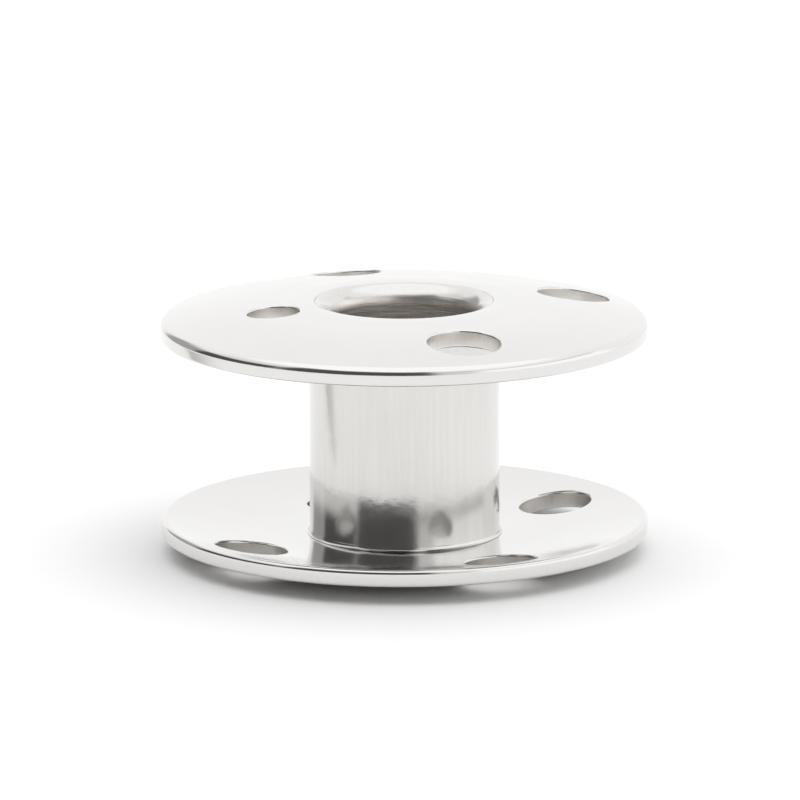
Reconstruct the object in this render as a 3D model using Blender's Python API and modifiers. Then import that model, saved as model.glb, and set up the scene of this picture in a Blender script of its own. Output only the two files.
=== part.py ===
"""Metal thread bobbin: two dished sheet flanges staked onto the shouldered ends of a hub tube.

Metres, +Z up along the bore. The origin is on the bore's axis, level with the ring round
the lower mouth, on which the bobbin stands. Run it with blender --background --python
part.py or from the text editor.
"""

import math

import bmesh
import bpy

MM = 0.001

# Hub tube: a plain bore, a full-width middle between two shoulders, and a neck at each end
BORE_DIAMETER = 6.20 * MM
HUB_WALL = 0.925 * MM
HUB_LENGTH = 9.15 * MM          # shoulder to shoulder
NECK_WALL = 0.50 * MM           # what is left of the wall where it passes through a flange
STAKE_REACH = 0.18 * MM         # how far the neck's end is spread into its flange's countersink
STAKE_DEPTH = 0.08 * MM         # from the mouth's crest down to the spread end's lower edge
MOUTH_ROUND = 0.85 * MM         # rounding from the bore over the spread end, to the crest
BEAD_REACH = 0.12 * MM          # bead swelled at each shoulder by the staking
BEAD_HEIGHT = 0.22 * MM

# Flanges: two of the same pressing, the lower one turned over
FLANGE_DIAMETER = 20.60 * MM
SHEET = 0.75 * MM
DISH_RADIUS = 22.60 * MM        # of the sheet's middle, from the flat seat out to the rim
SEAT_MARGIN = 0.35 * MM         # between the hub's bead and the start of the dish
EDGE_ROUND = 0.20 * MM          # rounding of both edges of the rim
COLLAR_HEIGHT = 0.05 * MM       # how far staking raises the flange round the mouth
COLLAR_WIDTH = 0.20 * MM        # flat top of that collar, on which the bobbin stands

# Holes pierced in each flange: one small, then three large at quarter turns from it
LARGE_HOLE_DIAMETER = 3.05 * MM
LARGE_HOLE_MARGIN = 1.17 * MM   # metal left between a large hole and the rim
SMALL_HOLE_DIAMETER = 2.20 * MM
SMALL_HOLE_MARGIN = 0.68 * MM   # metal left between the small hole and the hub
UPPER_TURN = math.radians(199)  # where the small hole lies, counter-clockwise from +X
LOWER_TURN = math.radians(122)

# Fit and facets
CLEARANCE = 0.02 * MM           # gap kept all round each staked seat
TURN_STEPS = 72
HOLE_STEPS = 32
ROUND_STEPS = 3
MOUTH_STEPS = 6
DISH_STEPS = 5

# Worked out from the sizes above
BORE_RADIUS = BORE_DIAMETER / 2
HUB_RADIUS = BORE_RADIUS + HUB_WALL
NECK_RADIUS = BORE_RADIUS + NECK_WALL
STAKE_RADIUS = NECK_RADIUS + STAKE_REACH
RIM_RADIUS = FLANGE_DIAMETER / 2
SEAT_RADIUS = HUB_RADIUS + BEAD_REACH + SEAT_MARGIN
END_LENGTH = CLEARANCE + SHEET + COLLAR_HEIGHT
HEIGHT = HUB_LENGTH + 2 * END_LENGTH
MOUTH_RADIUS = BORE_RADIUS + MOUTH_ROUND
LARGE_HOLE_RADIUS = LARGE_HOLE_DIAMETER / 2
LARGE_HOLE_PITCH = RIM_RADIUS - LARGE_HOLE_MARGIN - LARGE_HOLE_RADIUS
SMALL_HOLE_RADIUS = SMALL_HOLE_DIAMETER / 2
SMALL_HOLE_PITCH = HUB_RADIUS + SMALL_HOLE_MARGIN + SMALL_HOLE_RADIUS


def clear_scene():
    for existing in list(bpy.data.objects):
        bpy.data.objects.remove(existing)


def new_collection(name):
    collection = bpy.data.collections.new(name)
    bpy.context.scene.collection.children.link(collection)
    return collection


def metal(name, colour, roughness):
    material = bpy.data.materials.new(name)
    material.use_nodes = True
    shader = material.node_tree.nodes["Principled BSDF"]
    shader.inputs["Base Color"].default_value = (*colour, 1)
    shader.inputs["Metallic"].default_value = 1
    shader.inputs["Roughness"].default_value = roughness
    return material


def polar(centre, radius, angle):
    return centre[0] + radius * math.cos(angle), centre[1] + radius * math.sin(angle)


def arc(centre, radius, start, end, steps):
    """Points (r, z) on an arc in the half plane, from one angle to the other, both ends kept."""
    return [polar(centre, radius, start + (end - start) * i / steps) for i in range(steps + 1)]


def turned(name, outline, steps, collection, material):
    """A closed outline of points (r, z), down its outer side first, turned about Z."""
    mesh = bpy.data.meshes.new(name)
    profile = bmesh.new()
    corners = [profile.verts.new((r, 0, z)) for r, z in outline]
    for corner, following in zip(corners, corners[1:] + corners[:1]):
        profile.edges.new((corner, following))
    profile.to_mesh(mesh)
    profile.free()
    mesh.materials.append(material)
    piece = bpy.data.objects.new(name, mesh)
    collection.objects.link(piece)
    screw = piece.modifiers.new("Turn", "SCREW")
    screw.axis = "Z"
    screw.angle = 2 * math.pi
    screw.steps = steps
    screw.render_steps = steps
    screw.use_merge_vertices = True
    screw.merge_threshold = 1e-6
    screw.use_smooth_shade = True
    return piece


def mouth_angle(radius):
    """Where the rounding of an upward mouth has reached this radius. The bore is at pi."""
    return math.pi - math.acos((MOUTH_RADIUS - radius) / MOUTH_ROUND)


def hub_outline():
    """The tube's wall: spread end, neck, shoulder and bead, the same mirrored, then the bore."""
    mouth_centre = (MOUTH_RADIUS, HEIGHT - MOUTH_ROUND)
    mouth = arc(mouth_centre, MOUTH_ROUND, math.pi, mouth_angle(STAKE_RADIUS), MOUTH_STEPS)
    upper = [
        (STAKE_RADIUS, HEIGHT - STAKE_DEPTH),
        (NECK_RADIUS, HEIGHT - STAKE_DEPTH - STAKE_REACH),
        (NECK_RADIUS, HEIGHT - END_LENGTH),
        (HUB_RADIUS + BEAD_REACH, HEIGHT - END_LENGTH),
    ]
    for step in range(1, ROUND_STEPS + 1):
        angle = step / ROUND_STEPS * math.pi / 2
        swell = BEAD_REACH * (1 - math.sin(angle))
        below = BEAD_HEIGHT * (1 - math.cos(angle))
        upper.append((HUB_RADIUS + swell, HEIGHT - END_LENGTH - below))
    half = mouth + upper
    return half + [(r, HEIGHT - z) for r, z in reversed(half)]


def flange_outline():
    """The flange's section with its outer face up and its flat inner face at z = 0."""
    centre = (SEAT_RADIUS, SHEET / 2 - DISH_RADIUS)
    outer_face, outer_edge = dished_face(centre, 1)
    inner_face, inner_edge = dished_face(centre, -1)
    hole = NECK_RADIUS + CLEARANCE
    seam = STAKE_RADIUS + CLEARANCE
    crest = SHEET + COLLAR_HEIGHT
    countersink = [
        (hole, 0),
        (hole, crest - STAKE_DEPTH - STAKE_REACH - CLEARANCE),
        (seam, crest - STAKE_DEPTH - CLEARANCE),
    ]
    mouth = arc((MOUTH_RADIUS, crest - MOUTH_ROUND), MOUTH_ROUND, mouth_angle(seam), math.pi / 2, 2)
    collar = mouth + [(MOUTH_RADIUS + COLLAR_WIDTH, crest)]
    return outer_face + outer_edge + inner_edge[::-1] + inner_face[::-1] + countersink + collar


def dished_face(centre, side):
    """One face from the seat out to the rim, and its rounded edge. The outer face's side is 1."""
    round_reach = DISH_RADIUS + side * (SHEET / 2 - EDGE_ROUND)
    sweep = math.asin((RIM_RADIUS - EDGE_ROUND - SEAT_RADIUS) / round_reach)
    normal = math.pi / 2 - sweep
    face = arc(centre, DISH_RADIUS + side * SHEET / 2, math.pi / 2, normal, DISH_STEPS)
    edge_centre = polar(centre, round_reach, normal)
    start = normal if side == 1 else normal - math.pi
    return face, arc(edge_centre, EDGE_ROUND, start, 0, ROUND_STEPS)[1:]


def hole_cutter(name, radius, collection):
    """A cylinder along Z, long enough for any dish because it is as long as the bobbin."""
    mesh = bpy.data.meshes.new(name)
    cylinder = bmesh.new()
    bmesh.ops.create_cone(
        cylinder, cap_ends=True, segments=HOLE_STEPS, radius1=radius, radius2=radius, depth=HEIGHT
    )
    cylinder.to_mesh(mesh)
    cylinder.free()
    cutter = bpy.data.objects.new(name, mesh)
    cutter.hide_render = True
    cutter.display_type = "WIRE"
    collection.objects.link(cutter)
    return cutter


def pierce(flange, cutters):
    """Cuts the flange's holes: the small one on its own +X, the large ones at quarter turns."""
    holes = [(SMALL_HOLE_RADIUS, SMALL_HOLE_PITCH)] + 3 * [(LARGE_HOLE_RADIUS, LARGE_HOLE_PITCH)]
    for quarter, (radius, pitch) in enumerate(holes):
        angle = quarter * math.pi / 2
        cutter = hole_cutter(f"{flange.name}_hole_{quarter}", radius, cutters)
        cutter.parent = flange
        cutter.location = (pitch * math.cos(angle), pitch * math.sin(angle), 0)
        cut = flange.modifiers.new(f"Hole {quarter}", "BOOLEAN")
        cut.object = cutter
        cut.operation = "DIFFERENCE"
        cut.solver = "EXACT"


def make_flange(name, seat_z, turned_over, small_hole_angle, parts, cutters, material):
    flange = turned(name, flange_outline(), TURN_STEPS, parts, material)
    flange.location.z = seat_z
    flange.rotation_euler = (math.pi if turned_over else 0, 0, small_hole_angle)
    pierce(flange, cutters)
    return flange


def main():
    clear_scene()
    parts = new_collection("thread_bobbin")
    cutters = new_collection("cutters")
    bright_nickel = metal("bright_nickel", (0.82, 0.81, 0.79), 0.12)
    drawn_nickel = metal("drawn_nickel", (0.78, 0.77, 0.75), 0.22)

    bobbin = bpy.data.objects.new("bobbin", None)
    parts.objects.link(bobbin)
    hub = turned("hub_tube", hub_outline(), TURN_STEPS, parts, drawn_nickel)
    seat = COLLAR_HEIGHT + SHEET
    upper = make_flange("upper_flange", HEIGHT - seat, False, UPPER_TURN, parts, cutters, bright_nickel)
    lower = make_flange("lower_flange", seat, True, LOWER_TURN, parts, cutters, bright_nickel)
    for piece in (hub, upper, lower):
        piece.parent = bobbin


main()
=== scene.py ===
"""Fine meshes, metal finishes and studio for a thread bobbin.

The file is laid out as an add-on and is run as a script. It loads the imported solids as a
fixed frame, models each of them again with fine edges, and sets the stage around them.
"""

import math

import bmesh
import bpy
from bpy.props import FloatProperty, FloatVectorProperty, IntProperty, PointerProperty
from mathutils import Matrix, Vector, noise


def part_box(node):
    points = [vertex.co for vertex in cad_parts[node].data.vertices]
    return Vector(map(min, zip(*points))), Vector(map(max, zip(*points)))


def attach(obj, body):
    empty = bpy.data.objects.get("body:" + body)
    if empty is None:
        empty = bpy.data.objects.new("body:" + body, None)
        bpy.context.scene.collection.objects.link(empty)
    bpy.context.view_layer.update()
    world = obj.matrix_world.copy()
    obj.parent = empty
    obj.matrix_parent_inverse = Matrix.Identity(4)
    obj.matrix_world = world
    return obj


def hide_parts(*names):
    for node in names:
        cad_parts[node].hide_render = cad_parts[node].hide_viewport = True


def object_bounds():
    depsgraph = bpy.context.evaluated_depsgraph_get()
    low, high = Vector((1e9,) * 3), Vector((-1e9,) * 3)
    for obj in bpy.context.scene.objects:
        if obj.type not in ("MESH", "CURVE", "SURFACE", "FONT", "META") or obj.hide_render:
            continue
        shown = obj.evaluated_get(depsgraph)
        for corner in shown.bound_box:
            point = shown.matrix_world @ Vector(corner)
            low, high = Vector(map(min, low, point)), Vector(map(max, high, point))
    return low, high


bl_info = {
    "name": "Thread Bobbin",
    "version": (1, 0, 0),
    "blender": (4, 5, 0),
    "location": "View3D > Sidebar > Bobbin",
    "description": "Models a nickel plated thread bobbin around its packed solids, and its studio",
    "category": "Add Mesh",
}

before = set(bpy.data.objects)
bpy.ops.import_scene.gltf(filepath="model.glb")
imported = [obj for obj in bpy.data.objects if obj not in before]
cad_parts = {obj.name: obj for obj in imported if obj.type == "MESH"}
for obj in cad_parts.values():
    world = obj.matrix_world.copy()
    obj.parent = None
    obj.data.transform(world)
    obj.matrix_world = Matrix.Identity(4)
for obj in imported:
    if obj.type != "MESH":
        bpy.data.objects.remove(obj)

MM = 0.001
FULL_TURN = 2 * math.pi
QUARTER_TURN = math.pi / 2
CAD_LOW, CAD_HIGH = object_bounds()
FLANGE_LOW, FLANGE_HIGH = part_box("upper_flange")
HUB_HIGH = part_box("hub_tube")[1]
RIM_RADIUS = round((FLANGE_HIGH.x - FLANGE_LOW.x) / 2, 5)

# How fine the meshes are
HOLDING_WIDTH = 0.05 * MM    # flat ring beside each rounding, which keeps the face's shading flat
CELL = 0.16 * MM             # radial spacing of a flange's faces
FINE_CELL = 0.05 * MM        # the same round the mouth
WALL_CELL = 0.5 * MM         # the same up the hub tube's bore and outside
HOLE_STEPS = 128             # facets round a pierced hole
LIP_STEPS = 8                # faces across the rounding of a hole's edge
RIM_STEPS = 12               # and of the rim's edge
CURL_STEPS = 5               # and of the flange's part of the mouth
MOUTH_STEPS = 26             # and of the hub tube's part
BEAD_STEPS = 10
WELD = 1e-6
SHARP_ANGLE = 40             # degrees between two faces above which their edge is shaded sharp

# Shapes that no user would change
SEAM_ROUND = 0.02 * MM       # rounding of the two edges that meet at the seam
COLLAR_TOP = 0.20 * MM       # width of the collar's flat top
COLLAR_FADE = 1.2 * MM       # how far past the seat the collar's slope runs out
RIPPLES_PER_METRE = 420

# Finishes
PIERCED = 1                      # a flange's second material, on the walls of its holes
BORE_FINISH_REACH = 0.20 * MM    # how far the bore's finish reaches up the mouth's rounding
BORE_FADE = (0.03 * MM, 0.16 * MM)    # past the bore's radius, where its rings and wear fade out

# Each shade in the surround, in degrees: left, right, low, high, darkness, and the softness of
# its sides and of its heights. Straight ahead is 0, and a darkness below 0 brightens.
SURROUND_SHADES = (
    (-62, 15, -5, 49, 0.92, 4, 6),
    (-118, -62, -5, 30, 0.92, 5, 4),
    (-118, -62, 30, 46, 0.18, 4, 6),
    (-150, -118, -5, 30, 0.60, 5, 6),
    (15, 36, -5, 40, 0.26, 4, 6),
    (15, 115, 31, 37, 0.32, 4, 2),
    (32, 115, -5, 31, -0.14, 6, 4),
    (-200, 200, 52, 100, -0.17, 4, 5),
)

# A grey wedge lying on the floor, which only the metal sees: a painted reflection that darkens the
# metal's reflection of the floor. Its point, and how it opens
REFLECTION_WEDGE_POINT = (-21 * MM, -3 * MM)
REFLECTION_WEDGE_LENGTH = 60 * MM
REFLECTION_WEDGE_LIFT = 0.05 * MM
REFLECTION_WEDGE_FRONT, REFLECTION_WEDGE_BACK = -0.30, 0.86      # slopes of its two edges
# Painted reflection: the grey that only the metal's reflections show
PAINTED_REFLECTION_GREY = (0.40, 0.385, 0.36)
PAINTED_REFLECTION_FADE = (-6, 54)                     # degrees round its point, from the floor's white to grey
FLOOR_DROP = 0.01 * MM                   # keeps the floor's face off the ring that stands on it
FLOOR_REACH = 3
MATT_ROUGHNESS = 0.9
MATT_SPECULAR = 0.1
SOFTBOX_WIDTH = 1.0
SOFTBOX_PLACE = (0, 0.06, 0.5)


def length(name, description, default):
    return FloatProperty(
        name=name, description=description, default=default, unit="LENGTH", precision=6
    )


def angle(name, description, degrees):
    return FloatProperty(
        name=name, description=description, default=math.radians(degrees), subtype="ANGLE"
    )


def share(name, description, default):
    return FloatProperty(
        name=name, description=description, default=default, min=0, max=1, subtype="FACTOR"
    )


def colour(name, description, default):
    return FloatVectorProperty(
        name=name, description=description, default=default, size=3, min=0, max=1, subtype="COLOR"
    )


class FlangeSizes(bpy.types.PropertyGroup):
    """Sizes of the two pressed flanges."""

    rim_radius: length("Rim radius", "Outer radius of a flange", RIM_RADIUS)
    sheet: length("Sheet", "Thickness of the sheet", 0.75 * MM)
    collar: length("Collar", "How far staking raises the flange round the mouth", 0.05 * MM)
    seat_radius: length("Seat radius", "Radius where the dish begins", 4.495 * MM)
    dish_radius: length(
        "Dish radius", "Radius of the dish, from the seat out to the rim", 22.6 * MM
    )
    hole_neck: length(
        "Middle hole radius", "Radius of the middle hole below its countersink", 3.612 * MM
    )
    lip_round: length("Lip rounding", "Rounding of the edges of the pierced holes", 0.10 * MM)
    small_radius: length("Small hole radius", "Radius of the small pierced hole", 1.10 * MM)
    small_pitch: length(
        "Small hole pitch", "From the axis to the middle of the small hole", 5.805 * MM
    )
    large_radius: length("Large hole radius", "Radius of each large pierced hole", 1.525 * MM)
    large_pitch: length(
        "Large hole pitch", "From the axis to the middle of a large hole", 7.605 * MM
    )
    upper_turn: angle("Upper turn", "Where the upper flange's small hole lies, from +X", 199)
    lower_turn: angle("Lower turn", "Where the lower flange's small hole lies, from +X", 122)
    upper_outer_round: length(
        "Upper outer round", "Rim rounding on top of the upper flange", 0.27 * MM
    )
    upper_inner_round: length("Upper inner round", "Rim rounding under the upper flange", 0.15 * MM)
    lower_outer_round: length("Lower outer round", "Rim rounding under the lower flange", 0.13 * MM)
    lower_inner_round: length(
        "Lower inner round", "Rim rounding on top of the lower flange", 0.25 * MM
    )
    ripple: length(
        "Press ripple", "Height of the slow ripple that pressing leaves in the sheet", 0.0025 * MM
    )


class HubSizes(bpy.types.PropertyGroup):
    """Sizes of the hub tube."""

    height: length("Height", "Height over the crests of both mouths", round(CAD_HIGH.z, 6))
    bead_radius: length(
        "Bead radius", "Outer radius of the bead at a shoulder", round(HUB_HIGH.x, 6)
    )
    radius: length("Hub radius", "Outer radius between the beads", 4.025 * MM)
    bore_radius: length("Bore radius", "Radius of the bore", 3.10 * MM)
    mouth_round: length(
        "Mouth rounding", "Rounding from the bore up to the crest of the mouth", 0.85 * MM
    )
    neck_radius: length("Neck radius", "Outer radius of the neck inside a flange", 3.60 * MM)
    stake_radius: length("Stake radius", "Radius of the end spread into its flange", 3.78 * MM)
    stake_depth: length(
        "Stake depth", "From the mouth's crest to the spread end's lower edge", 0.08 * MM
    )
    seam: length("Seam", "Hairline left round the spread end", 0.006 * MM)
    bead_height: length("Bead height", "Height of the bead at a shoulder", 0.22 * MM)
    shoulder_gap: length(
        "Shoulder gap", "Crease left between a shoulder and its flange", 0.004 * MM
    )


class FinishSettings(bpy.types.PropertyGroup):
    """Colours and sheens of the plated metal."""

    plate: colour("Plate", "Colour of the bright nickel on the flanges", (0.75, 0.742, 0.727))
    plate_roughness: share("Plate roughness", "Roughness of the bright nickel", 0.13)
    pierced: colour("Pierced edge", "Colour of the sheared walls of the holes", (0.80, 0.768, 0.73))
    pierced_roughness: share("Pierced roughness", "Roughness of the sheared walls", 0.36)
    drawn: colour("Drawn tube", "Colour of the nickel on the drawn tube", (0.715, 0.704, 0.686))
    drawn_roughness: share("Drawn roughness", "Roughness of the drawn tube's outside", 0.16)
    bore: colour("Bore", "Colour of the thinly plated steel in the bore", (0.84, 0.80, 0.755))
    bore_roughness: share("Bore roughness", "Roughness of the bore", 0.40)


class StudioSettings(bpy.types.PropertyGroup):
    """The floor, the light and the camera."""

    floor: colour("Floor", "Colour of the floor", (0.92, 0.92, 0.92))
    surround: FloatProperty(
        name="Surround", description="Brightness of the white surround", default=1.10
    )
    softbox: FloatProperty(
        name="Softbox", description="Brightness of the softbox that tops up the floor", default=0.45
    )
    elevation: angle("Elevation", "Camera's height above the horizon", 12.6)
    roll: angle("Roll", "Camera's turn about its own axis", 0.22)
    distance: length("Distance", "Camera's distance from the bobbin's middle", 0.377)
    lens: FloatProperty(
        name="Lens", description="Focal length", default=400.8, subtype="DISTANCE_CAMERA"
    )
    aim_up: length("Aim above", "How far above the bobbin's middle the camera aims", 1.040 * MM)
    aim_left: length("Aim left", "How far left of the bobbin's middle the camera aims", 0.182 * MM)


class BobbinSettings(bpy.types.PropertyGroup):
    """Everything a user would change."""

    flange: PointerProperty(type=FlangeSizes)
    hub: PointerProperty(type=HubSizes)
    finish: PointerProperty(type=FinishSettings)
    studio: PointerProperty(type=StudioSettings)
    turn_steps: IntProperty(
        name="Turn steps", description="Facets round a full turn", default=360, min=24
    )


# Meshes


def arc(centre, radius, start, end, steps):
    """Points (r, z) along an arc, both ends kept."""
    points = []
    for step in range(steps + 1):
        at = start + (end - start) * step / steps
        points.append((centre[0] + radius * math.cos(at), centre[1] + radius * math.sin(at)))
    return points


def spaced(start, end, step):
    """Values from start to end, evenly spaced by about one step."""
    count = max(1, math.ceil(abs(end - start) / step))
    return [start + (end - start) * i / count for i in range(count + 1)]


def chain(bm, outline, closed):
    """Vertices in the XZ plane through an outline's points (r, z), joined in order."""
    verts = [bm.verts.new((r, 0, z)) for r, z in outline]
    following = verts[1:] + verts[:1] if closed else verts[1:]
    edges = [bm.edges.new(pair) for pair in zip(verts, following)]
    return verts + edges


def spin(bm, geom, steps):
    bmesh.ops.spin(
        bm, geom=geom, cent=(0, 0, 0), axis=(0, 0, 1), angle=FULL_TURN, steps=steps, use_merge=True
    )


def roll_edge(bm, edges, centre, start_radius, path):
    """Extrudes a ring of edges along a path of (radius, height change). Gives the last faces."""
    to_centre = Matrix.Translation((-centre[0], -centre[1], 0))
    radius = start_radius
    for next_radius, rise in path:
        made = bmesh.ops.extrude_edge_only(bm, edges=edges)["geom"]
        verts = [v for v in made if isinstance(v, bmesh.types.BMVert)]
        edges = [e for e in made if isinstance(e, bmesh.types.BMEdge)]
        scale = next_radius / radius
        bmesh.ops.scale(bm, vec=(scale, scale, 1), space=to_centre, verts=verts)
        bmesh.ops.translate(bm, vec=(0, 0, rise), verts=verts)
        radius = next_radius
    return [f for f in made if isinstance(f, bmesh.types.BMFace)]


def steps_of(points):
    """A path for roll_edge from the points (radius, height) that it passes."""
    return [(b[0], b[1] - a[1]) for a, b in zip(points, points[1:])]


def ring_edges(bm, centre, low, high):
    """Boundary edges whose ends both lie between two distances from a centre."""
    def inside(vert):
        return low <= math.hypot(vert.co.x - centre[0], vert.co.y - centre[1]) <= high
    return [e for e in bm.edges if e.is_boundary and all(inside(v) for v in e.verts)]


def open_hole(bm, centre, radius, lip, side, face_height):
    """Pierces a flat face: a clean ring let into its cells, then a rounded lip to the mid-plane."""
    ring_radius = radius + lip + HOLDING_WIDTH
    guard = ring_radius + 0.3 * CELL
    doomed = [
        f for f in bm.faces
        if any(math.hypot(v.co.x - centre[0], v.co.y - centre[1]) < guard for v in f.verts)
        and f.calc_center_median().z * side > 0
    ]
    bmesh.ops.delete(bm, geom=doomed, context="FACES")
    around = ring_edges(bm, centre, guard, guard + 3 * CELL)
    jagged = [e for e in around if e.verts[0].co.z * side > 0]
    place = Matrix.Translation((centre[0], centre[1], face_height))
    circle = bmesh.ops.create_circle(
        bm, cap_ends=False, segments=HOLE_STEPS, radius=ring_radius, matrix=place
    )
    ring = list({e for v in circle["verts"] for e in v.link_edges})
    bmesh.ops.triangle_fill(bm, edges=jagged + ring, use_beauty=True, normal=(0, 0, side))
    turn_centre = (radius + lip, face_height - side * lip)
    lip_arc = arc(turn_centre, lip, side * QUARTER_TURN, side * math.pi, LIP_STEPS)
    path = steps_of([(ring_radius, face_height), *lip_arc, (radius, 0)])
    for face in roll_edge(bm, ring, centre, ring_radius, path):
        face.material_index = PIERCED


def mouth_arc(hub, top, start_radius, end_radius, steps):
    """Points (r, z) on the rounding of an upward mouth between two radii."""
    middle = hub.bore_radius + hub.mouth_round
    angles = [
        math.pi - math.acos((middle - radius) / hub.mouth_round)
        for radius in (start_radius, end_radius)
    ]
    return arc((middle, top - hub.mouth_round), hub.mouth_round, *angles, steps)


def middle_path(sizes, hub, side):
    """From a face of the blank through the middle hole to the mid-plane."""
    face_height = side * sizes.sheet / 2
    if side == -1:
        return [(sizes.hole_neck, face_height), (sizes.hole_neck, 0)]
    crest = hub.bore_radius + hub.mouth_round
    seam = hub.stake_radius + hub.seam
    curl = mouth_arc(hub, face_height, crest, seam + SEAM_ROUND, CURL_STEPS)
    edge = curl[-1][1] - SEAM_ROUND
    low = face_height - hub.stake_depth
    neck = sizes.hole_neck
    return [*curl, (seam, edge), (seam, low), (neck, low - (seam - neck)), (neck, 0)]


def pierced_half(bm, sizes, hub, side, rim_round, steps):
    """One face of the flat blank, outer (1) or inner (-1), with its half of every edge."""
    face_height = side * sizes.sheet / 2
    rim_start = sizes.rim_radius - rim_round
    middle = middle_path(sizes, hub, side)
    radii = spaced(middle[0][0], sizes.seat_radius, FINE_CELL)
    radii += spaced(sizes.seat_radius, rim_start - HOLDING_WIDTH, CELL)[1:]
    spin(bm, chain(bm, [(r, face_height) for r in radii], closed=False), steps)
    small = (sizes.small_radius, sizes.small_pitch)
    large = (sizes.large_radius, sizes.large_pitch)
    holes = [small, large, large, large]
    for quarter, (radius, pitch) in enumerate(holes):
        at = quarter * QUARTER_TURN
        centre = (pitch * math.cos(at), pitch * math.sin(at))
        open_hole(bm, centre, radius, sizes.lip_round, side, face_height)
    round_centre = (rim_start, face_height - side * rim_round)
    rim_arc = arc(round_centre, rim_round, side * QUARTER_TURN, 0, RIM_STEPS)
    rim = [(radii[-1], face_height), *rim_arc, (sizes.rim_radius, 0)]
    for path in (rim, middle):
        start = path[0][0]
        edges = [
            e for e in ring_edges(bm, (0, 0), start - 1e-6, start + 1e-6)
            if abs(e.verts[0].co.z - face_height) < 1e-7
        ]
        roll_edge(bm, edges, (0, 0), start, steps_of(path))


def ease(share_done):
    """A smooth step from 0 to 1."""
    share_done = min(1, max(0, share_done))
    return share_done**2 * (3 - 2 * share_done)


def press(bm, sizes, hub):
    """Dishes the pierced blank, raises the collar round its mouth and adds the press ripple."""
    collar_edge = hub.bore_radius + hub.mouth_round + COLLAR_TOP
    fall = sizes.seat_radius + COLLAR_FADE - collar_edge
    for vert in bm.verts:
        radius = math.hypot(vert.co.x, vert.co.y)
        out = max(0, radius - sizes.seat_radius)
        depth = sizes.dish_radius - math.sqrt(sizes.dish_radius**2 - out**2)
        ripple = noise.noise(Vector((vert.co.x, vert.co.y, 0)) * RIPPLES_PER_METRE)
        if vert.co.z > 1e-6:
            vert.co.z += sizes.collar * (1 - ease((radius - collar_edge) / fall))
        vert.co.z += sizes.ripple * ripple * ease(out / MM) - depth


def finished(bm, name, place, materials):
    """The bmesh as a smooth shaded object at the origin, with its place in its mesh."""
    bmesh.ops.remove_doubles(bm, verts=bm.verts, dist=WELD)
    bmesh.ops.recalc_face_normals(bm, faces=bm.faces)
    loose = sum(not edge.is_manifold for edge in bm.edges)
    if loose:
        raise RuntimeError(f"{name} has {loose} edges that don't join two faces")
    mesh = bpy.data.meshes.new(name)
    bm.to_mesh(mesh)
    bm.free()
    mesh.transform(place)
    for material in materials:
        mesh.materials.append(material)
    mesh.shade_smooth()
    mesh.set_sharp_from_angle(angle=math.radians(SHARP_ANGLE))
    piece = bpy.data.objects.new(name, mesh)
    bpy.context.scene.collection.objects.link(piece)
    return piece


# Finishes


def socket(tree, name, kind, default=None, out=False):
    made = tree.interface.new_socket(name, in_out="OUTPUT" if out else "INPUT", socket_type=kind)
    if default is not None:
        made.default_value = default


class Nodes:
    """Adds nodes to a tree and links their inputs by name or index."""

    def __init__(self, tree):
        self.tree = tree

    def add(self, kind, settings=None, **inputs):
        node = self.tree.nodes.new(kind)
        for key, value in (settings or {}).items():
            setattr(node, key, value)
        for key, value in inputs.items():
            numbered = key[0] == "i" and key[1:].isdigit()
            slot = node.inputs[int(key[1:]) if numbered else key.replace("_", " ")]
            if isinstance(value, bpy.types.NodeSocket):
                self.tree.links.new(value, slot)
            else:
                slot.default_value = value
        return node

    def math(self, operation, a, b=0.0):
        return self.add("ShaderNodeMath", {"operation": operation}, i0=a, i1=b).outputs[0]

    def ramp(self, value, low, high, to_low=0.0, to_high=1.0):
        """A smooth step from to_low at low to to_high at high."""
        return self.add(
            "ShaderNodeMapRange", {"interpolation_type": "SMOOTHSTEP"},
            i0=value, i1=low, i2=high, i3=to_low, i4=to_high,
        ).outputs[0]

    def noise(self, vector, scale, detail=2.0, roughness=0.5):
        return self.add(
            "ShaderNodeTexNoise", Vector=vector, Scale=scale, Detail=detail, Roughness=roughness
        ).outputs["Fac"]

    def mix(self, mask, first, second):
        """The first colour where the mask is 0, the second where it is 1. RGB or sockets."""
        shades = [c if isinstance(c, bpy.types.NodeSocket) else (*c, 1) for c in (first, second)]
        return self.add(
            "ShaderNodeMix", {"data_type": "RGBA"}, i0=mask, i6=shades[0], i7=shades[1]
        ).outputs[2]

    def stretched(self, vector, x, y, z):
        return self.add(
            "ShaderNodeVectorMath", {"operation": "MULTIPLY"}, i0=vector, i1=(x, y, z)
        ).outputs[0]


def haze_group():
    """Cloudy handling marks: a slow mask and a fine one, joined."""
    tree = bpy.data.node_groups.new("handling_haze", "ShaderNodeTree")
    socket(tree, "Vector", "NodeSocketVector")
    socket(tree, "Scale", "NodeSocketFloat", 300.0)
    socket(tree, "Mask", "NodeSocketFloat", out=True)
    nodes = Nodes(tree)
    given = nodes.add("NodeGroupInput").outputs
    slow = nodes.noise(given["Vector"], given["Scale"], 3.0, 0.6)
    fine = nodes.noise(given["Vector"], nodes.math("MULTIPLY", given["Scale"], 9.0), 4.0, 0.7)
    both = nodes.math("ADD", nodes.math("MULTIPLY", slow, 0.7), nodes.math("MULTIPLY", fine, 0.3))
    nodes.add("NodeGroupOutput", Mask=nodes.ramp(both, 0.35, 0.68))
    return tree


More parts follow.
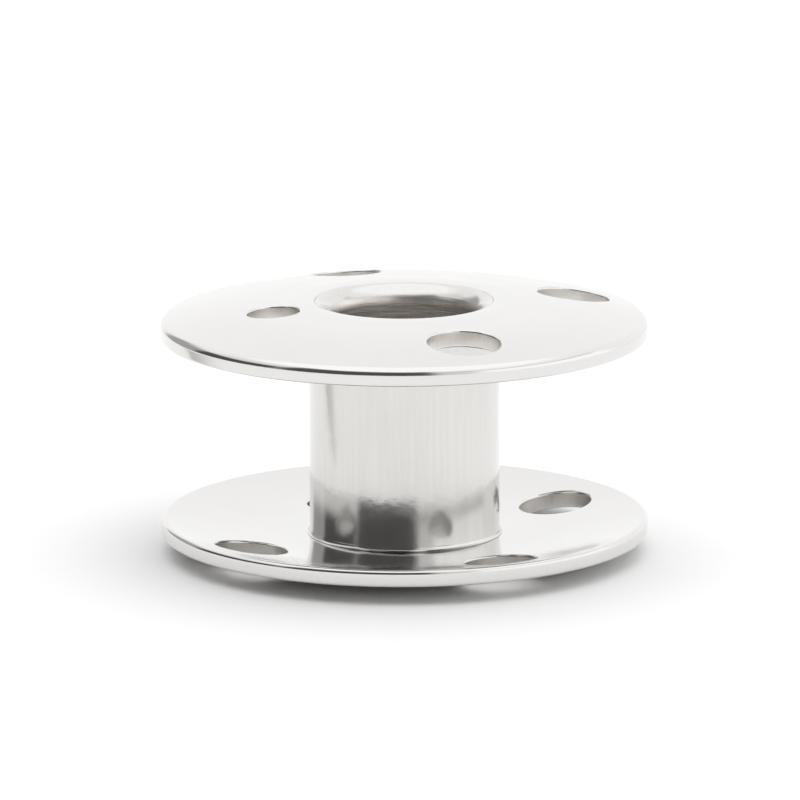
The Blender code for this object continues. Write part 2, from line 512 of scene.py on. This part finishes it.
def scratch_group():
    """Hairlines: long thin marks in two directions, where few of them show."""
    tree = bpy.data.node_groups.new("hairlines", "ShaderNodeTree")
    socket(tree, "Vector", "NodeSocketVector")
    socket(tree, "Fineness", "NodeSocketFloat", 9000.0)
    socket(tree, "Mask", "NodeSocketFloat", out=True)
    nodes = Nodes(tree)
    given = nodes.add("NodeGroupInput").outputs
    marks = []
    for turn, stretch in ((0.5, 0.035), (2.1, 0.05)):
        about_z = {"rotation_type": "Z_AXIS"}
        turned = nodes.add(
            "ShaderNodeVectorRotate", about_z, Vector=given["Vector"], Angle=turn
        ).outputs[0]
        lines = nodes.noise(nodes.stretched(turned, 1.0, stretch, 1.0), given["Fineness"], 1.0)
        patches = nodes.noise(given["Vector"], 480.0 + 120.0 * turn, 1.0)
        lines, patches = nodes.ramp(lines, 0.66, 0.74), nodes.ramp(patches, 0.5, 0.62)
        marks.append(nodes.math("MULTIPLY", lines, patches))
    nodes.add("NodeGroupOutput", Mask=nodes.math("MAXIMUM", marks[0], marks[1]))
    return tree


def turning_group():
    """Marks left by turning and drawing: rings round the axis, and streaks along it."""
    tree = bpy.data.node_groups.new("tool_marks", "ShaderNodeTree")
    socket(tree, "Vector", "NodeSocketVector")
    socket(tree, "Around", "NodeSocketFloat", 200.0)
    socket(tree, "Along", "NodeSocketFloat", 9000.0)
    socket(tree, "Height", "NodeSocketFloat", out=True)
    nodes = Nodes(tree)
    given = nodes.add("NodeGroupInput").outputs
    parts = nodes.add("ShaderNodeSeparateXYZ", i0=given["Vector"]).outputs
    around = given["Around"]
    along = nodes.math("MULTIPLY", parts[2], given["Along"])
    joined = nodes.add(
        "ShaderNodeCombineXYZ",
        i0=nodes.math("MULTIPLY", parts[0], around),
        i1=nodes.math("MULTIPLY", parts[1], around),
        i2=along,
    ).outputs[0]
    nodes.add("NodeGroupOutput", Height=nodes.noise(joined, 1.0, 3.0, 0.6))
    return tree


def group_named(name, maker):
    return bpy.data.node_groups.get(name) or maker()


def metal(name, base):
    """A new material with a metallic shader, and where its patterns come from."""
    material = bpy.data.materials.new(name)
    material.use_nodes = True
    nodes = Nodes(material.node_tree)
    shader = material.node_tree.nodes["Principled BSDF"]
    shader.inputs["Metallic"].default_value = 1
    shader.inputs["Base Color"].default_value = (*base, 1)
    place = nodes.add("ShaderNodeTexCoord").outputs["Object"]
    return material, nodes, shader, place


def placed(nodes, name, maker, **inputs):
    node = nodes.add("ShaderNodeGroup", {"node_tree": group_named(name, maker)}, **inputs)
    return node.outputs[0]


def tint(nodes, shader, base, mask, dark):
    """Base colour between two shades by a mask."""
    shade = nodes.mix(mask, base, [c * dark for c in base])
    nodes.tree.links.new(shade, shader.inputs["Base Color"])


def plated_finish(settings):
    """Bright nickel over tumbled sheet: haze, a few hairlines and a faint grain."""
    material, nodes, shader, place = metal("bright_nickel", settings.plate)
    haze = placed(nodes, "handling_haze", haze_group, Vector=place, Scale=260.0)
    hairs = placed(nodes, "hairlines", scratch_group, Vector=place, Fineness=9000.0)
    level = settings.plate_roughness
    rough = nodes.math("ADD", nodes.math("MULTIPLY", haze, 0.05), level - 0.02)
    rough = nodes.math("ADD", rough, nodes.math("MULTIPLY", hairs, 0.10))
    nodes.tree.links.new(rough, shader.inputs["Roughness"])
    tint(nodes, shader, settings.plate, nodes.math("MULTIPLY", haze, 0.5), 0.97)
    grain = nodes.noise(place, 2600.0, 3.0, 0.6)
    height = nodes.math("SUBTRACT", grain, nodes.math("MULTIPLY", hairs, 0.4))
    bump = nodes.add("ShaderNodeBump", Strength=0.06, Distance=0.01 * MM, Height=height).outputs[0]
    nodes.tree.links.new(bump, shader.inputs["Normal"])
    return material


def pierced_finish(settings):
    """The sheared wall of a pierced hole: satin, with fine lines across the sheet and patches."""
    material, nodes, shader, place = metal("pierced_edge", settings.pierced)
    lines = placed(nodes, "tool_marks", turning_group, Vector=place, Around=7000.0, Along=900.0)
    haze = placed(nodes, "handling_haze", haze_group, Vector=place, Scale=500.0)
    level = settings.pierced_roughness - 0.10
    rough = nodes.math("ADD", nodes.math("MULTIPLY", lines, 0.20), level)
    nodes.tree.links.new(rough, shader.inputs["Roughness"])
    soiled = nodes.math("MULTIPLY", nodes.math("ADD", haze, lines), 0.5)
    tint(nodes, shader, settings.pierced, soiled, 0.80)
    bump = nodes.add("ShaderNodeBump", Strength=0.5, Distance=0.01 * MM, Height=lines).outputs[0]
    nodes.tree.links.new(bump, shader.inputs["Normal"])
    return material


def drawn_finish(settings):
    """Nickel over drawn tube: soft streaks along the axis and light haze."""
    material, nodes, shader, place = metal("drawn_nickel", settings.drawn)
    haze = placed(nodes, "handling_haze", haze_group, Vector=place, Scale=320.0)
    streaks = placed(nodes, "tool_marks", turning_group, Vector=place, Around=5200.0, Along=160.0)
    rough = nodes.math("ADD", nodes.math("MULTIPLY", haze, 0.06), settings.drawn_roughness - 0.03)
    nodes.tree.links.new(rough, shader.inputs["Roughness"])
    tint(nodes, shader, settings.drawn, nodes.ramp(streaks, 0.35, 0.65), 0.965)
    dents = nodes.noise(place, 1300.0, 3.0, 0.55)
    height = nodes.math("ADD", dents, nodes.math("MULTIPLY", streaks, 0.12))
    bump = nodes.add("ShaderNodeBump", Strength=1.0, Distance=0.008 * MM, Height=height).outputs[0]
    nodes.tree.links.new(bump, shader.inputs["Normal"])
    return material


def bore_finish(settings, bore_radius):
    """Thin plate over a reamed bore: uneven, duller rings round the axis, fading up the mouth."""
    material, nodes, shader, place = metal("reamed_bore", settings.bore)
    parts = nodes.add("ShaderNodeSeparateXYZ", i0=place).outputs
    flat = nodes.add("ShaderNodeCombineXYZ", i0=parts[0], i1=parts[1]).outputs[0]
    radius = nodes.add("ShaderNodeVectorMath", {"operation": "LENGTH"}, i0=flat).outputs["Value"]
    fade_start, fade_end = (bore_radius + past for past in BORE_FADE)
    deep = nodes.ramp(radius, fade_start, fade_end, 1.0, 0.0)
    rings = placed(nodes, "tool_marks", turning_group, Vector=place, Around=420.0, Along=6500.0)
    haze = placed(nodes, "handling_haze", haze_group, Vector=place, Scale=420.0)
    smooth = settings.drawn_roughness
    extra = settings.bore_roughness - 0.11 - smooth
    rough = nodes.math("ADD", nodes.math("MULTIPLY", rings, 0.22), extra)
    rough = nodes.math("ADD", nodes.math("MULTIPLY", rough, deep), smooth)
    nodes.tree.links.new(rough, shader.inputs["Roughness"])
    worn = nodes.math("MULTIPLY", nodes.math("ADD", haze, nodes.ramp(rings, 0.35, 0.65)), 0.5)
    reamed = nodes.mix(worn, settings.bore, [c * 0.66 for c in settings.bore])
    nodes.tree.links.new(nodes.mix(deep, settings.drawn, reamed), shader.inputs["Base Color"])
    height = nodes.math("MULTIPLY", rings, deep)
    bump = nodes.add("ShaderNodeBump", Strength=1.0, Distance=0.02 * MM, Height=height).outputs[0]
    nodes.tree.links.new(bump, shader.inputs["Normal"])
    return material


# Pieces


class BOBBIN_OT_flanges(bpy.types.Operator):
    """Press the two flanges: pierce a flat blank, dish it, and turn the lower one over"""

    bl_idname = "bobbin.flanges"
    bl_label = "Press Flanges"

    def execute(self, context):
        settings = context.scene.bobbin
        sizes, hub = settings.flange, settings.hub
        finishes = [plated_finish(settings.finish), pierced_finish(settings.finish)]
        middle = sizes.collar + sizes.sheet / 2
        turned_over = Matrix.Rotation(math.pi, 4, "X")
        upper_turn = Matrix.Rotation(sizes.upper_turn, 4, "Z")
        lower_turn = Matrix.Rotation(sizes.lower_turn, 4, "Z")
        upper = Matrix.Translation((0, 0, hub.height - middle)) @ upper_turn
        lower = Matrix.Translation((0, 0, middle)) @ lower_turn @ turned_over
        upper_rounds = (sizes.upper_outer_round, sizes.upper_inner_round)
        lower_rounds = (sizes.lower_outer_round, sizes.lower_inner_round)
        for name, node, place, rounds in (
            ("upper_pressed_flange", "upper_flange", upper, upper_rounds),
            ("lower_pressed_flange", "lower_flange", lower, lower_rounds),
        ):
            blank = bmesh.new()
            for side, rim_round in zip((1, -1), rounds):
                pierced_half(blank, sizes, hub, side, rim_round, settings.turn_steps)
            press(blank, sizes, hub)
            piece = finished(blank, name, place, finishes)
            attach(piece, "root")
            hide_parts(node)
        return {"FINISHED"}


def hub_outline(sizes, end_length):
    """The tube's closed section: up the bore, over the mouth, down outside, and mirrored."""
    middle = sizes.height / 2
    shoulder = sizes.height - end_length - sizes.shoulder_gap
    bore_top = sizes.height - sizes.mouth_round
    bore = [(sizes.bore_radius, z) for z in spaced(middle, bore_top, WALL_CELL)][:-1]
    seam_start = sizes.stake_radius - SEAM_ROUND
    mouth = mouth_arc(sizes, sizes.height, sizes.bore_radius, seam_start, MOUTH_STEPS)
    low = sizes.height - sizes.stake_depth
    neck = [
        (sizes.stake_radius, mouth[-1][1] - SEAM_ROUND),
        (sizes.stake_radius, low),
        (sizes.neck_radius, low - (sizes.stake_radius - sizes.neck_radius)),
        (sizes.neck_radius, shoulder),
        (sizes.bead_radius - SEAM_ROUND, shoulder),
    ]
    swell = sizes.bead_radius - sizes.radius
    bead = []
    for step in range(BEAD_STEPS + 1):
        at = step / BEAD_STEPS * QUARTER_TURN
        drop = SEAM_ROUND + (sizes.bead_height - SEAM_ROUND) * (1 - math.cos(at))
        bead.append((sizes.radius + swell * (1 - math.sin(at)), shoulder - drop))
    wall = [(sizes.radius, z) for z in spaced(bead[-1][1], middle, WALL_CELL)][1:]
    half = bore + mouth + neck + bead + wall
    return half + [(r, sizes.height - z) for r, z in reversed(half[1:-1])]


class BOBBIN_OT_hub(bpy.types.Operator):
    """Turn the hub tube with its beads, staked ends and bore"""

    bl_idname = "bobbin.hub"
    bl_label = "Turn Hub"

    def execute(self, context):
        settings = context.scene.bobbin
        sizes = settings.hub
        end_length = settings.flange.sheet + settings.flange.collar
        bm = bmesh.new()
        spin(bm, chain(bm, hub_outline(sizes, end_length), closed=True), settings.turn_steps)
        finishes = [drawn_finish(settings.finish), bore_finish(settings.finish, sizes.bore_radius)]
        finish_end = sizes.bore_radius + BORE_FINISH_REACH
        for face in bm.faces:
            middle = face.calc_center_median()
            face.material_index = int(math.hypot(middle.x, middle.y) < finish_end)
        piece = finished(bm, "turned_hub_tube", Matrix.Identity(4), finishes)
        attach(piece, "root")
        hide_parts("hub_tube")
        return {"FINISHED"}


# Stage


def matt(name):
    """A new material with an almost sheenless shader."""
    material = bpy.data.materials.new(name)
    material.use_nodes = True
    shader = material.node_tree.nodes["Principled BSDF"]
    shader.inputs["Roughness"].default_value = MATT_ROUGHNESS
    shader.inputs["Specular IOR Level"].default_value = MATT_SPECULAR
    return material, Nodes(material.node_tree), shader


def floor_material(settings):
    """Matt white, seen through from below so that the bobbin's underside can be looked at."""
    material, nodes, shader = matt("studio_floor")
    shader.inputs["Base Color"].default_value = (*settings.floor, 1)
    below = nodes.add("ShaderNodeNewGeometry").outputs["Backfacing"]
    clear = nodes.add("ShaderNodeBsdfTransparent").outputs[0]
    mixed = nodes.add("ShaderNodeMixShader", i0=below, i1=shader.outputs[0], i2=clear).outputs[0]
    output = material.node_tree.nodes["Material Output"]
    nodes.tree.links.new(mixed, output.inputs["Surface"])
    return material


def surround(settings):
    """A white tent with a dark room beyond its open front, which only reflections see."""
    world = bpy.data.worlds.new("white_tent")
    world.use_nodes = True
    bpy.context.scene.world = world
    nodes = Nodes(world.node_tree)
    background = world.node_tree.nodes["Background"]
    direction = nodes.add("ShaderNodeTexCoord").outputs["Generated"]
    parts = nodes.add("ShaderNodeSeparateXYZ", i0=direction).outputs
    height = nodes.math("ARCSINE", parts[2])
    to_front = nodes.math("MULTIPLY", parts[1], -1.0)
    turn = nodes.math("ARCTAN2", parts[0], to_front)

    def between(value, low, high, soft):
        rise = nodes.ramp(value, math.radians(low - soft), math.radians(low + soft))
        fall = nodes.ramp(value, math.radians(high - soft), math.radians(high + soft), 1.0, 0.0)
        return nodes.math("MULTIPLY", rise, fall)

    light = 1.0
    for left, right, low, high, darkness, side_soft, height_soft in SURROUND_SHADES:
        across = between(turn, left, right, side_soft)
        shade = nodes.math("MULTIPLY", across, between(height, low, high, height_soft))
        kept = nodes.math("SUBTRACT", 1.0, nodes.math("MULTIPLY", shade, darkness))
        light = nodes.math("MULTIPLY", light, kept)
    light = nodes.math("MULTIPLY", light, settings.surround)
    seen = nodes.add("ShaderNodeLightPath").outputs["Is Camera Ray"]
    strength = nodes.math("MAXIMUM", light, seen)
    nodes.tree.links.new(strength, background.inputs["Strength"])
    background.inputs["Color"].default_value = (1, 1, 1, 1)


def painted_reflection_material(settings):
    """Painted reflection: grey along the wedge's left edge, fading round its point into the floor's
    white.
    """
    material, nodes, shader = matt("painted_reflection_wedge")
    place = nodes.add("ShaderNodeTexCoord").outputs["Object"]
    parts = nodes.add("ShaderNodeSeparateXYZ", i0=place).outputs
    left = nodes.math("SUBTRACT", REFLECTION_WEDGE_POINT[0], parts[0])
    back = nodes.math("SUBTRACT", parts[1], REFLECTION_WEDGE_POINT[1])
    turn = nodes.math("ARCTAN2", back, left)
    grey = nodes.ramp(turn, *(math.radians(degrees) for degrees in PAINTED_REFLECTION_FADE))
    shade = nodes.mix(grey, settings.floor, PAINTED_REFLECTION_GREY)
    nodes.tree.links.new(shade, shader.inputs["Base Color"])
    return material


def laid(bm, name, material):
    """The bmesh as an object with one material, added to the scene."""
    mesh = bpy.data.meshes.new(name)
    bm.to_mesh(mesh)
    bm.free()
    mesh.materials.append(material)
    piece = bpy.data.objects.new(name, mesh)
    bpy.context.scene.collection.objects.link(piece)
    return piece


class BOBBIN_OT_stage(bpy.types.Operator):
    """Lay the floor, hang the light and place the camera"""

    bl_idname = "bobbin.stage"
    bl_label = "Set Stage"

    def execute(self, context):
        settings = context.scene.bobbin
        studio = settings.studio
        bm = bmesh.new()
        bmesh.ops.create_grid(bm, x_segments=1, y_segments=1, size=FLOOR_REACH)
        floor = laid(bm, "floor", floor_material(studio))
        floor.location.z = -FLOOR_DROP

        # Painted reflection: a grey wedge that only glossy rays see, darkening the metal's
        # reflection of the floor
        reflection_wedge_mesh = bmesh.new()
        bmesh.ops.create_grid(reflection_wedge_mesh, x_segments=1, y_segments=1, size=0.5)
        for vert in reflection_wedge_mesh.verts:
            slope = REFLECTION_WEDGE_FRONT if vert.co.y < 0 else REFLECTION_WEDGE_BACK
            reach = REFLECTION_WEDGE_LENGTH * (0.51 - vert.co.x)
            vert.co = (REFLECTION_WEDGE_POINT[0] - reach, REFLECTION_WEDGE_POINT[1] + slope * reach, REFLECTION_WEDGE_LIFT)
        bmesh.ops.recalc_face_normals(reflection_wedge_mesh, faces=reflection_wedge_mesh.faces)
        painted_reflection_wedge = laid(reflection_wedge_mesh, "painted_reflection_wedge", painted_reflection_material(studio))
        painted_reflection_wedge.visible_camera = False
        painted_reflection_wedge.visible_diffuse = False
        painted_reflection_wedge.visible_shadow = False

        lamp = bpy.data.lights.new("softbox", "AREA")
        lamp.shape = "DISK"
        lamp.size = SOFTBOX_WIDTH
        lamp.energy = studio.softbox * math.pi * math.pi * (lamp.size / 2) ** 2
        softbox = bpy.data.objects.new("softbox", lamp)
        softbox.location = SOFTBOX_PLACE
        softbox.visible_glossy = False
        context.scene.collection.objects.link(softbox)
        surround(studio)

        lens = bpy.data.cameras.new("camera")
        lens.lens = studio.lens
        lens.clip_start = 0.01
        camera = bpy.data.objects.new("camera", lens)
        context.scene.collection.objects.link(camera)
        context.scene.camera = camera
        back = Vector((0, -math.cos(studio.elevation), math.sin(studio.elevation)))
        up = Vector((0, math.sin(studio.elevation), math.cos(studio.elevation)))
        middle = Vector((0, 0, settings.hub.height / 2))
        stand = middle + back * studio.distance
        aim = middle + up * studio.aim_up - Vector((studio.aim_left, 0, 0))
        sight = (aim - stand).to_track_quat("-Z", "Y").to_matrix().to_4x4()
        roll = Matrix.Rotation(-studio.roll, 4, "Z")
        camera.matrix_world = Matrix.Translation(stand) @ sight @ roll
        context.scene.view_settings.view_transform = "Standard"
        return {"FINISHED"}


class BOBBIN_PT_panel(bpy.types.Panel):
    """The bobbin's steps, in the 3D view's sidebar"""

    bl_label = "Thread Bobbin"
    bl_idname = "BOBBIN_PT_panel"
    bl_space_type = "VIEW_3D"
    bl_region_type = "UI"
    bl_category = "Bobbin"

    def draw(self, context):
        for step in STEPS:
            self.layout.operator(step.bl_idname)


STEPS = (BOBBIN_OT_flanges, BOBBIN_OT_hub, BOBBIN_OT_stage)
GROUPS = (FlangeSizes, HubSizes, FinishSettings, StudioSettings, BobbinSettings)


def register():
    for made in (*GROUPS, *STEPS, BOBBIN_PT_panel):
        bpy.utils.register_class(made)
    bpy.types.Scene.bobbin = PointerProperty(type=BobbinSettings)


def unregister():
    del bpy.types.Scene.bobbin
    for made in reversed((*GROUPS, *STEPS, BOBBIN_PT_panel)):
        bpy.utils.unregister_class(made)


def main():
    register()
    bpy.ops.bobbin.flanges()
    bpy.ops.bobbin.hub()
    bpy.ops.bobbin.stage()


if __name__ == "__main__":
    main()
